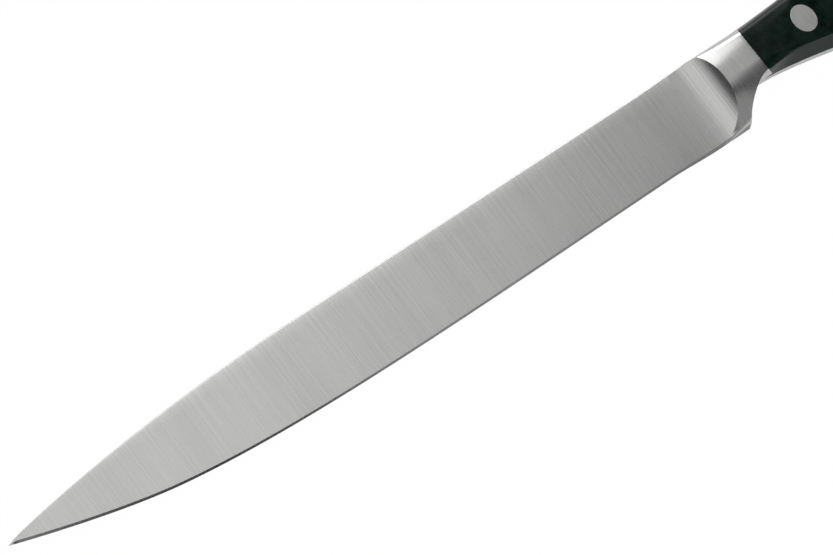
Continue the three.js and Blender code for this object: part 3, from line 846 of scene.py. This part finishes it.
@dataclass(frozen=True)
class Grip:
    """The handle's outline, which the tang and both scales share, and the rounding of its edges."""

    section: Section = Section()
    front_x: float = Section.joint_x
    front_margin: float = 0.001
    length: float = 112.0
    half: float = Section.half
    half_tang: float = Section.half_tang
    tang_shares: tuple[float, ...] = (-1.0, -0.5, 0.0, 0.5, 1.0)
    joint_run: float = Section.joint_run
    joint_clearance: float = 0.05
    spine_y: float = Section.spine_y
    belly_y: float = Section.belly_y
    crest_x: float = 42.0
    crest_rise: float = 1.5
    swell_x: float = 48.0
    swell_depth: float = 18.2
    waist_setback: float = 30.0
    waist_depth: float = 16.6
    beak_setback: float = 7.0
    beak_depth: float = 22.8
    butt_depth: float = 10.0
    spine_end_setback: float = 15.0
    spine_end_depth: float = 1.6
    spine_end_slope: float = 0.138
    spine_start_slope: float = 0.014
    belly_start_slope: float = 0.007
    start_reach: float = 14.0
    crest_lead: float = 16.0
    crest_reach: float = 20.0
    spine_end_lead: float = 16.0
    spine_end_reach: float = 9.0
    butt_lead: float = 5.0
    butt_reach: float = 6.0
    beak_reach: float = 5.0
    waist_reach: float = 10.0
    swell_lead: float = 14.0
    swell_reach: float = 12.0
    edge_round: float = 2.3
    round_blend: float = 20.0
    belly_facet: float = 1.9
    belly_blend: float = 10.0
    curve_steps: int = 40
    round_steps: int = 20

    @cached_property
    def curves(self) -> list[list[Vector]]:
        """Curves from the front of the spine round the butt to the front of the belly."""
        butt_x = self.front_x + self.length
        spine = flat(self.front_x, self.spine_y)
        crest = flat(self.front_x + self.crest_x, self.crest_rise)
        end = flat(butt_x - self.spine_end_setback, -self.spine_end_depth)
        butt = flat(butt_x, -self.butt_depth)
        beak = flat(butt_x - self.beak_setback, -self.beak_depth)
        waist = flat(butt_x - self.waist_setback, -self.waist_depth)
        swell = flat(self.front_x + self.swell_x, -self.swell_depth)
        belly = flat(self.front_x, self.belly_y)
        reach, slope = self.start_reach, self.spine_end_slope
        spans = [
            (spine, along(spine, reach, self.spine_start_slope), along(crest, -self.crest_lead), crest),
            (crest, along(crest, self.crest_reach), along(end, -self.spine_end_lead, -slope), end),
            (end, along(end, self.spine_end_reach, -slope), flat(butt.x, butt.y + self.butt_lead), butt),
            (butt, flat(butt.x, butt.y - self.butt_reach), along(beak, self.beak_reach), beak),
            (beak, along(beak, -self.beak_reach), along(waist, self.waist_reach), waist),
            (waist, along(waist, -self.waist_reach), along(swell, self.swell_reach), swell),
            (swell, along(swell, -self.swell_lead), along(belly, reach, -self.belly_start_slope), belly),
        ]
        return [interpolate_bezier(*span, self.curve_steps) for span in spans]

    def outline(self, foremost: float) -> list[Vector]:
        """Closed outline, clockwise from its foremost place on the spine.

        Args:
            foremost: How far forward the outline reaches.

        Returns:
            The outline's points.
        """
        points = [flat(foremost, self.spine_y)]
        for curve in self.curves:
            points += curve[:-1]
        return [*points, flat(self.front_x, self.belly_y), flat(foremost, self.belly_y)]

    def on_spine_side(self, spot: Vector) -> bool:
        """Whether a point of the outline's front belongs to the spine."""
        return spot.y > (self.spine_y + self.belly_y) / 2.0

    def drawn_in(self, spot: Vector, z: float) -> float:
        """How far the edge has drawn in: flush at the joint, rounded or cut to a facet behind it.

        Args:
            spot: Point of the outline.
            z: Distance from the middle of the steel.

        Returns:
            The distance from the outline.
        """
        share = max((z - self.half_tang) / (self.half - self.half_tang), 0.0)
        if self.on_spine_side(spot):
            behind = ease(spot.x, self.front_x, self.front_x + self.round_blend)
            return mix(self.section.crown_drop(z), rounding(self.edge_round, share), behind)
        behind = ease(spot.x, self.front_x, self.front_x + self.belly_blend)
        return mix(self.section.belly_drop(z), self.belly_facet * share, behind)

    def ring(self, foremost: float, z: float) -> Ring:
        """Outline at a height over the middle of the steel, drawn in at its edges.

        Args:
            foremost: How far forward the outline reaches.
            z: The height.

        Returns:
            The ring.
        """
        outline = self.outline(foremost)
        ring = []
        for i, spot in enumerate(outline):
            before, after = outline[i - 1], outline[(i + 1) % len(outline)]
            forward = (after - before).normalized()
            inward = flat(forward.y, -forward.x)
            if spot.x < self.front_x + self.front_margin:
                inward = flat(0.0, -1.0 if self.on_spine_side(spot) else 1.0)
            moved = spot + inward * self.drawn_in(spot, abs(z))
            ring.append(Vector((moved.x, moved.y, z)))
        return ring

    def tang_rings(self) -> list[Ring]:
        """Rings of the tang, from its right face to its left one."""
        return [self.ring(self.front_x, self.half_tang * share) for share in self.tang_shares]

    def scale_rings(self) -> list[Ring]:
        """Work out the left scale's rings.

        Returns:
            Rings from the tang to the flat outside.
        """
        foremost = self.front_x - self.joint_run / 2.0
        rings = []
        for step in range(self.round_steps + 1):
            share = math.sin(QUARTER_TURN * step / self.round_steps)
            rings.append(self.ring(foremost, mix(self.half_tang, self.half, share)))
        return rings


@dataclass(frozen=True)
class Rivet:
    """A two-piece compression rivet, flush with both scales."""

    head_diameter: float = 6.8
    head_thickness: float = 1.8
    sleeve_diameter: float = 4.2
    pin_diameter: float = 2.6
    clearance: float = 0.1
    pin_clearance: float = 0.05
    end_clearance: float = 0.3
    chamfer: float = 0.08
    half_handle: float = Section.half
    cut_margin: float = 1.0
    steps: int = 96

    @property
    def seat(self) -> float:
        """Height of the shoulder under the head, from the middle of the steel."""
        return self.half_handle - self.head_thickness

    def post_profile(self) -> Profile:
        """Post: flush head on the left side and a solid pin."""
        pin = self.pin_diameter / 2.0 - self.pin_clearance
        head = self.head_diameter / 2.0
        end = self.end_clearance - self.seat
        return [
            (0.0, end),
            (pin, end),
            (pin, self.seat),
            (head, self.seat),
            (head, self.half_handle - self.chamfer),
            (head - self.chamfer, self.half_handle),
            (0.0, self.half_handle),
        ]

    def sleeve_profile(self) -> Profile:
        """Sleeve: flush head on the right side and a tube that takes the pin."""
        head = self.head_diameter / 2.0
        tube = self.sleeve_diameter / 2.0
        bore = self.pin_diameter / 2.0
        end = self.seat - self.end_clearance
        return [
            (0.0, -self.half_handle),
            (head - self.chamfer, -self.half_handle),
            (head, self.chamfer - self.half_handle),
            (head, -self.seat),
            (tube, -self.seat),
            (tube, end),
            (bore, end),
            (bore, -self.seat),
            (0.0, -self.seat),
        ]

    def scale_cut(self) -> Profile:
        """Stepped hole through the left scale."""
        shank = self.sleeve_diameter / 2.0 + self.clearance
        head = self.head_diameter / 2.0 + self.clearance
        top = self.half_handle + self.cut_margin
        return [(0.0, 0.0), (shank, 0.0), (shank, self.seat), (head, self.seat), (head, top), (0.0, top)]

    def tang_cut(self) -> Profile:
        """Plain hole through the tang."""
        shank = self.sleeve_diameter / 2.0 + self.clearance
        return [(0.0, -self.seat), (shank, -self.seat), (shank, self.seat), (0.0, self.seat)]


class Socket:
    """A shader value that Python's operators turn into Math nodes."""

    def __init__(self, board: "Board", socket: bpy.types.NodeSocket) -> None:
        """Keep an output socket and the board that it is on."""
        self.board = board
        self.socket = socket

    def _math(self, operation: str, *values: Any) -> "Socket":
        """Math node on this value and others."""
        return self.board.add("ShaderNodeMath", {"operation": operation}, dict(enumerate(values)))

    def __add__(self, other: Any) -> "Socket":
        """Sum."""
        return self._math("ADD", self, other)

    __radd__ = __add__

    def __mul__(self, other: Any) -> "Socket":
        """Product."""
        return self._math("MULTIPLY", self, other)

    __rmul__ = __mul__

    def maximum(self, other: Any) -> "Socket":
        """The greater of two values."""
        return self._math("MAXIMUM", self, other)


class Board:
    """Adds nodes to one material or world."""

    NOISE_BAND = (0.3, 0.7)
    LOW_COLOUR, HIGH_COLOUR, MIXED_COLOUR = 6, 7, 2

    def __init__(self, tree: bpy.types.NodeTree) -> None:
        """Start on an empty tree."""
        self.tree = tree
        tree.nodes.clear()

    def node(self, kind: str, settings: dict[str, Any], inputs: dict[Any, Any]) -> bpy.types.Node:
        """Add a node, set it up and link it.

        Args:
            kind: The node's type.
            settings: Attributes that are set first.
            inputs: Values or links by socket name or number.

        Returns:
            The node.
        """
        made = self.tree.nodes.new(kind)
        for name, value in settings.items():
            setattr(made, name, value)
        for key, value in inputs.items():
            if isinstance(value, Socket):
                self.tree.links.new(value.socket, made.inputs[key])
            else:
                made.inputs[key].default_value = value
        return made

    def add(self, kind: str, settings: dict[str, Any], inputs: dict[Any, Any], output: Any = 0) -> Socket:
        """Add a node as above and give one of its outputs, by name or number."""
        return Socket(self, self.node(kind, settings, inputs).outputs[output])

    def ray(self, kind: str) -> Socket:
        """Whether the light path is of a kind."""
        return self.add("ShaderNodeLightPath", {}, {}, kind)

    def place(self) -> Socket:
        """Object coordinates."""
        return self.add("ShaderNodeTexCoord", {}, {}, "Object")

    def noise(self, scale: Triple, detail: float = 2.0, contrast: float = 0.5) -> Socket:
        """Noise that is stretched over the piece.

        Args:
            scale: Count of grains to the metre along each axis.
            detail: How many finer layers it has.
            contrast: How strong these are.

        Returns:
            The noise.
        """
        settings = {"vector_type": "POINT"}
        spot = self.add("ShaderNodeMapping", settings, {"Vector": self.place(), "Scale": scale})
        inputs = {"Vector": spot, "Scale": 1.0, "Detail": detail, "Roughness": contrast}
        return self.add("ShaderNodeTexNoise", {}, inputs)

    def tones(self, noise: Socket) -> Socket:
        """Noise stretched from its usual band to the whole range from 0 to 1."""
        return self.spread(noise, *self.NOISE_BAND)

    def blend(self, share: Socket, low: Triple, high: Triple) -> Socket:
        """Colour between two, at a share."""
        inputs = {"Factor": share, self.LOW_COLOUR: (*low, 1.0), self.HIGH_COLOUR: (*high, 1.0)}
        return self.add("ShaderNodeMix", {"data_type": "RGBA"}, inputs, self.MIXED_COLOUR)

    def spread(self, value: Socket, low: float, high: float) -> Socket:
        """Value stretched from a band to the whole range from 0 to 1."""
        inputs = {"Value": value, "From Min": low, "From Max": high}
        return self.add("ShaderNodeMapRange", {"clamp": True}, inputs)

    def bump(self, height: Socket, distance: float) -> Socket:
        """Surface direction over fine relief, whose height is in metres."""
        return self.add("ShaderNodeBump", {}, {"Height": height, "Strength": 1.0, "Distance": distance})

    def output(self, shader: Socket, kind: str = "ShaderNodeOutputMaterial") -> None:
        """Link a shader to the output."""
        self.node(kind, {}, {"Surface": shader})


def new_material(name: str) -> tuple[Material, Board]:
    """Make an empty node material.

    Args:
        name: The material's name.

    Returns:
        The material and its board.
    """
    material = bpy.data.materials.new(name)
    material.use_nodes = True
    return material, Board(material.node_tree)


class Finish:
    """What all finishes share: a named material with one Principled shader."""

    name: str

    def inputs(self, board: Board) -> dict[str, Any]:
        """Values and links of the shader, which each finish gives."""
        raise NotImplementedError

    def material(self) -> Material:
        """Make the finish's material.

        Returns:
            The material.
        """
        material, board = new_material(self.name)
        board.output(board.add("ShaderNodeBsdfPrincipled", {}, self.inputs(board)))
        return material


@dataclass(frozen=True)
class GroundSteel(Finish):
    """Satin steel, ground across the blade so that fine lines run from spine to edge."""

    name: str = "ground_steel"
    dark: Triple = (0.465, 0.465, 0.46)
    light: Triple = (0.575, 0.575, 0.57)
    roughness: float = 0.23
    roughness_spread: float = 0.03
    line_scale: Triple = (9000.0, 45.0, 45.0)
    line_detail: float = 3.0
    line_contrast: float = 0.6
    line_height: float = 0.000003
    streak_scale: Triple = (2600.0, 30.0, 30.0)
    streak_share: float = 0.7
    cloud_scale: Triple = (90.0, 40.0, 40.0)

    def inputs(self, board: Board) -> dict[str, Any]:
        """Streaks and faint clouds over fine lines.

        Args:
            board: The material's board.

        Returns:
            Values and links of the shader.
        """
        lines = board.noise(self.line_scale, self.line_detail, self.line_contrast)
        streaks = board.tones(board.noise(self.streak_scale, self.line_detail, self.line_contrast))
        clouds = board.tones(board.noise(self.cloud_scale))
        share = streaks * self.streak_share + clouds * (1.0 - self.streak_share)
        return {
            "Base Color": board.blend(share, self.dark, self.light),
            "Metallic": 1.0,
            "Roughness": self.roughness + streaks * self.roughness_spread,
            "Normal": board.bump(lines, self.line_height),
        }


@dataclass(frozen=True)
class LinedSteel(Finish):
    """Bright steel with an even gloss, whose fine lines run one way."""

    name: str
    dark: Triple
    light: Triple
    roughness: float
    line_scale: Triple
    line_height: float
    line_detail: float = 2.0

    def inputs(self, board: Board) -> dict[str, Any]:
        """Fine lines in tone and relief.

        Args:
            board: The material's board.

        Returns:
            Values and links of the shader.
        """
        lines = board.noise(self.line_scale, self.line_detail)
        return {
            "Base Color": board.blend(board.tones(lines), self.dark, self.light),
            "Metallic": 1.0,
            "Roughness": self.roughness,
            "Normal": board.bump(lines, self.line_height),
        }


HONED_EDGE = LinedSteel(
    name="honed_edge",
    dark=(0.42, 0.42, 0.42),
    light=(0.58, 0.58, 0.58),
    roughness=0.22,
    line_scale=(160.0, 9000.0, 9000.0),
    line_height=0.000002,
)
RIVET_STEEL = LinedSteel(
    name="rivet_steel",
    dark=(0.47, 0.47, 0.46),
    light=(0.62, 0.62, 0.61),
    roughness=0.42,
    line_scale=(7000.0, 300.0, 300.0),
    line_height=0.000007,
    line_detail=3.0,
)


@dataclass(frozen=True)
class BlackPolymer(Finish):
    """Moulded black handle material with a low gloss and a faint green cast."""

    name: str = "black_polymer"
    dark: Triple = (0.0008, 0.0040, 0.0028)
    light: Triple = (0.0042, 0.0130, 0.0100)
    roughness: float = 0.17
    roughness_spread: float = 0.06
    ior: float = 1.5
    specular: float = 0.15
    mottle_scale: float = 420.0
    mottle_detail: float = 4.0
    grain_scale: float = 2600.0
    grain_height: float = 0.0000012

    def inputs(self, board: Board) -> dict[str, Any]:
        """Faint mottling over a fine grain.

        Args:
            board: The material's board.

        Returns:
            Values and links of the shader.
        """
        mottle = board.tones(board.noise((self.mottle_scale,) * 3, self.mottle_detail))
        grain = board.noise((self.grain_scale,) * 3)
        return {
            "Base Color": board.blend(mottle, self.dark, self.light),
            "Roughness": self.roughness + mottle * self.roughness_spread,
            "IOR": self.ior,
            "Specular IOR Level": self.specular,
            "Normal": board.bump(grain, self.grain_height),
        }


@dataclass
class Knife:
    """The whole knife: forging, scales and rivets."""

    shop: Shop
    blade: Blade = Blade()
    bolster: Bolster = Bolster()
    grip: Grip = Grip()
    rivet: Rivet = Rivet()
    edge_margin: float = 0.05

    def rivet_centre(self, place: Place) -> Vector:
        """Drawn centre of a rivet, from its CAD post.

        Args:
            place: Where the rivet sits.

        Returns:
            The centre on the middle plane of the steel.
        """
        low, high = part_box(f"rivet_{place.value}_post")
        middle = ((low + high) / 2.0 - self.shop.drawing.heel) / MM
        return flat(middle.x, middle.y)

    def cut_holes(self, piece: Piece, profile: Profile) -> None:
        """Cut the three rivet holes into a piece.

        Args:
            piece: The piece.
            profile: Radius and height pairs of the hole.
        """
        for place in Place:
            tool = self.shop.turned(profile, self.rivet_centre(place), self.rivet.steps)
            self.shop.combine(piece, new_object("hole", tool), Operation.CUT)

    def make_forging(self, steel: Material, edge: Material) -> Piece:
        """Blade, bolster and tang in one piece of steel.

        Args:
            steel: Finish of the forging.
            edge: Finish of the ground edge.

        Returns:
            The piece.
        """
        piece = new_object("forging", self.shop.loft(self.bolster.rings(self.blade)))
        tang = new_object("tang", self.shop.loft(self.grip.tang_rings()))
        self.cut_holes(tang, self.rivet.tang_cut())
        self.shop.combine(piece, tang, Operation.JOIN)
        blade = new_object("blade", self.shop.loft(self.blade.rings()))
        self.shop.combine(piece, blade, Operation.JOIN)
        self.shop.dress(piece, steel, edge)
        self.mark_edge(piece)
        return piece

    def mark_edge(self, piece: Piece) -> None:
        """Give the ground edge its own finish.

        Args:
            piece: The forging.
        """
        heel = self.shop.drawing.heel
        for polygon in piece.data.polygons:
            spot = (polygon.center - heel) / MM
            if spot.x > 0.0:
                continue
            shoulder = self.blade.heights(spot.x, spot.x)[1]
            polygon.material_index = int(spot.y < shoulder - self.edge_margin)

    def make_scale(self, side: Side, polymer: Material) -> Piece:
        """One handle scale, cut to the slanted joint and bored for the rivets.

        Args:
            side: Which side it is on.
            polymer: Its finish.

        Returns:
            The piece.
        """
        mesh = self.shop.loft(self.grip.scale_rings())
        normal = Vector((1.0, 0.0, self.grip.section.joint_slope)).normalized()
        foot = Vector((self.grip.front_x, 0.0, self.grip.half)) + normal * self.grip.joint_clearance
        cut = bmesh.ops.bisect_plane(
            mesh,
            geom=[*mesh.verts, *mesh.edges, *mesh.faces],
            plane_co=self.shop.drawing.place(foot),
            plane_no=normal,
            clear_inner=True,
        )
        rim = [item for item in cut["geom_cut"] if isinstance(item, bmesh.types.BMEdge)]
        bmesh.ops.edgeloop_fill(mesh, edges=rim)
        bmesh.ops.recalc_face_normals(mesh, faces=mesh.faces)
        piece = new_object(f"{side.name.lower()}_scale_body", mesh)
        self.cut_holes(piece, self.rivet.scale_cut())
        if side is Side.RIGHT:
            self.mirror(piece)
        self.shop.dress(piece, polymer)
        return piece

    def mirror(self, piece: Piece) -> None:
        """Turn a left piece into its right twin.

        Args:
            piece: The piece.
        """
        mesh = bmesh.new()
        mesh.from_mesh(piece.data)
        middle = self.shop.drawing.heel.z
        for vert in mesh.verts:
            vert.co.z = 2.0 * middle - vert.co.z
        bmesh.ops.reverse_faces(mesh, faces=mesh.faces)
        mesh.to_mesh(piece.data)
        mesh.free()

    def make_rivet_part(self, name: str, place: Place, profile: Profile, steel: Material) -> Piece:
        """Post or sleeve of a rivet.

        Args:
            name: The piece's name.
            place: Where the rivet sits.
            profile: Radius and height pairs.
            steel: Its finish.

        Returns:
            The piece.
        """
        mesh = self.shop.turned(profile, self.rivet_centre(place), self.rivet.steps)
        piece = new_object(name, mesh)
        self.shop.dress(piece, steel)
        return piece

    def build(self) -> None:
        """Build, dress and hand over every piece."""
        steel = GroundSteel().material()
        edge = HONED_EDGE.material()
        polymer = BlackPolymer().material()
        rivet_steel = RIVET_STEEL.material()
        hand_over(self.make_forging(steel, edge), "forged_blade")
        for side in Side:
            hand_over(self.make_scale(side, polymer), f"{side.name.lower()}_scale")
        profiles = {"post": self.rivet.post_profile(), "sleeve": self.rivet.sleeve_profile()}
        for place in Place:
            for part, profile in profiles.items():
                piece = self.make_rivet_part(f"{place.value}_rivet_{part}", place, profile, rivet_steel)
                hand_over(piece, f"rivet_{place.value}_{part}")


def hand_over(piece: Piece, node: str) -> None:
    """Let a piece ride on the frame in place of its CAD node.

    Args:
        piece: The finished piece.
        node: The CAD node that it stands for.
    """
    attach(piece, BODY)
    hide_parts(node)
    LOG.info("%s stands for %s: %d faces", piece.name, node, len(piece.data.polygons))


@dataclass(frozen=True)
class Card:
    """A level studio card over the knife that only shows in reflections."""

    name: str
    x_range: Pair
    y_range: Pair
    near_tone: float
    far_tone: float | None = None
    lean: float = 0.0
    height: float = 0.25

    def build(self) -> None:
        """Make the card and hide it from the camera, from diffuse light and from shadows."""
        half = 0.5
        mesh = bmesh.new()
        bmesh.ops.create_grid(mesh, x_segments=1, y_segments=1, size=half)
        for vert in mesh.verts:
            low, high = self.x_range
            if vert.co.y < 0.0:
                high += self.lean
            x = mix(low, high, vert.co.x + half)
            y = mix(*self.y_range, vert.co.y + half)
            vert.co = Vector((x, y, self.height))
        card = new_object(self.name, mesh)
        card.data.materials.append(self.material())
        card.visible_camera = False
        card.visible_diffuse = False
        card.visible_shadow = False

    def material(self) -> Material:
        """Make the card's glow, which may fade from one end to the other.

        Returns:
            The material.
        """
        material, board = new_material(self.name)
        far_tone = self.near_tone if self.far_tone is None else self.far_tone
        x = board.add("ShaderNodeSeparateXYZ", {}, {"Vector": board.place()}, "X")
        tone = board.blend(board.spread(x, *self.x_range), (self.near_tone,) * 3, (far_tone,) * 3)
        board.output(board.add("ShaderNodeEmission", {}, {"Color": tone, "Strength": 1.0}))
        return material


@dataclass(frozen=True)
class Studio:
    """White sweep, soft light, reflection cards and the camera."""

    floor_size: float = 6.0
    floor_gap: float = 0.0002
    floor_white: float = 0.92
    floor_glow: float = 0.985
    fill: float = 0.55
    key_power: float = 7.0
    key_spot: Triple = (0.0, -0.15, 1.25)
    key_size: float = 0.8
    camera_spot: Triple = (-0.51315, -0.09708, 0.67588)
    camera_aim: Triple = (-0.05199, 0.00415, 0.00550)
    camera_roll: float = 41.641
    focal_pixels: float = 4000.0
    photo_width: float = 833.0
    sensor_width: float = 36.0
    clip_start: float = 0.01
    handle_line: float = 0.255
    edge_line: float = -0.035
    spine_line: float = 0.09
    under_others: float = 0.249
    white: tuple[float, float, float, float] = (1.0, 1.0, 1.0, 1.0)

    def cards(self) -> list[Card]:
        """Cards that the steel and the polymer mirror."""
        handle, edge, spine, under = self.handle_line, self.edge_line, self.spine_line, self.under_others
        return [
            Card("handle_flag", (handle, 0.9), (-0.45, spine), 0.03),
            Card("facet_card", (0.39, 2.4), (-2.4, -0.45), 0.85),
            # Dim sheet just above the floor under the heel foot, seen only in reflections: painted shadow of
            # the floor there, which the foot's lower facet mirrors.
            Card("foot_flag", (0.02, 0.066), (-0.06, -0.012), 0.4, height=0.0006),
            Card("crest_flag", (handle, 0.6), (spine, 0.25), 0.1),
            Card("edge_flag", (-0.14, 0.09), (-0.2, -0.06), 0.03),
            Card("heel_flag", (0.1, handle), (-0.09, edge), 0.05),
            Card("foot_card", (0.09, 0.245), (-0.4, -0.09), 0.42, lean=0.145, height=under),
            Card("far_card", (0.09, 0.39), (-1.0, -0.4), 0.42, height=under),
            Card("side_card", (0.0, handle), (edge, 0.105), 1.02, 0.58),
            Card("joint_flag", (0.2, handle), (edge, 0.004), 0.4, height=under),
            Card("tip_shade", (-0.26, -0.08), (-0.5, 0.5), 0.05, 0.85),
            Card("tip_flag", (-0.95, -0.26), (-0.5, 0.5), 0.05),
            Card("near_softbox", (0.0, handle), (0.107, 0.33), 2.2),
            Card("far_softbox", (handle, 1.2), (0.25, 1.3), 3.2),
        ]

    def build(self) -> None:
        """Build the whole studio."""
        self.make_world()
        self.make_floor()
        self.make_key()
        for card in self.cards():
            card.build()
        self.make_camera()
        bpy.context.scene.view_settings.view_transform = "Standard"

    def make_world(self) -> None:
        """White surround that also lights the knife."""
        world = bpy.data.worlds.new("surround")
        bpy.context.scene.world = world
        world.use_nodes = True
        board = Board(world.node_tree)
        fill = board.add("ShaderNodeBackground", {}, {"Color": self.white, "Strength": self.fill})
        shown = board.add("ShaderNodeBackground", {}, {"Color": self.white, "Strength": 1.0})
        seen = board.ray("Is Camera Ray")
        for kind in ("Is Glossy Ray", "Is Transmission Ray"):
            seen = seen.maximum(board.ray(kind))
        surround = board.add("ShaderNodeMixShader", {}, {0: seen, 1: fill, 2: shown})
        board.output(surround, "ShaderNodeOutputWorld")

    def make_floor(self) -> None:
        """Plain white floor that keeps a faint shadow."""
        mesh = bmesh.new()
        bmesh.ops.create_grid(mesh, x_segments=1, y_segments=1, size=self.floor_size / 2.0)
        for vert in mesh.verts:
            vert.co.z = CAD_BOX[0].z - self.floor_gap
        floor = new_object("floor", mesh)
        material, board = new_material("white_floor")
        tone = (self.floor_white,) * 3
        lit = board.add("ShaderNodeBsdfDiffuse", {}, {"Color": (*tone, 1.0)})
        glow = board.add("ShaderNodeEmission", {}, {"Color": self.white, "Strength": 1.0})
        seen = board.ray("Is Camera Ray") * self.floor_glow
        board.output(board.add("ShaderNodeMixShader", {}, {0: seen, 1: lit, 2: glow}))
        floor.data.materials.append(material)

    def make_key(self) -> None:
        """Large soft lamp on the edge side."""
        lamp = bpy.data.lights.new("key", "AREA")
        lamp.energy = self.key_power
        lamp.shape = "SQUARE"
        lamp.size = self.key_size
        key = self.aimed("key", lamp, Vector(self.key_spot), Vector())
        key.visible_glossy = False

    def make_camera(self) -> None:
        """Camera at the photograph's place."""
        data = bpy.data.cameras.new("camera")
        data.sensor_width = self.sensor_width
        data.lens = self.focal_pixels * self.sensor_width / self.photo_width
        data.clip_start = self.clip_start
        camera = self.aimed("camera", data, Vector(self.camera_spot), Vector(self.camera_aim))
        camera.rotation_quaternion @= Quaternion((0.0, 0.0, 1.0), math.radians(self.camera_roll))
        bpy.context.scene.camera = camera

    def aimed(self, name: str, data: bpy.types.ID, spot: Vector, aim: Vector) -> Piece:
        """Put a lamp or a camera in the scene.

        Args:
            name: Its name.
            data: Its settings.
            spot: Where it stands.
            aim: What it points at.

        Returns:
            The new object.
        """
        thing = bpy.data.objects.new(name, data)
        thing.location = spot
        thing.rotation_mode = "QUATERNION"
        thing.rotation_quaternion = (aim - spot).to_track_quat("-Z", "Y")
        bpy.context.scene.collection.objects.link(thing)
        return thing


def drawing_of_frame() -> Drawing:
    """Find the drawing's place in the frame.

    Returns:
        The drawing whose heel lies where the CAD forging has it.
    """
    low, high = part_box("forged_blade")
    heel = Vector((low.x + Blade.length * MM, high.y - Grip.crest_rise * MM, (low.z + high.z) / 2.0))
    return Drawing(heel)


def main() -> None:
    """Build the knife, then the studio round it."""
    logging.basicConfig(level=logging.INFO, format="%(message)s")
    Knife(Shop(drawing_of_frame())).build()
    Studio().build()


if __name__ == "__main__":
    main()
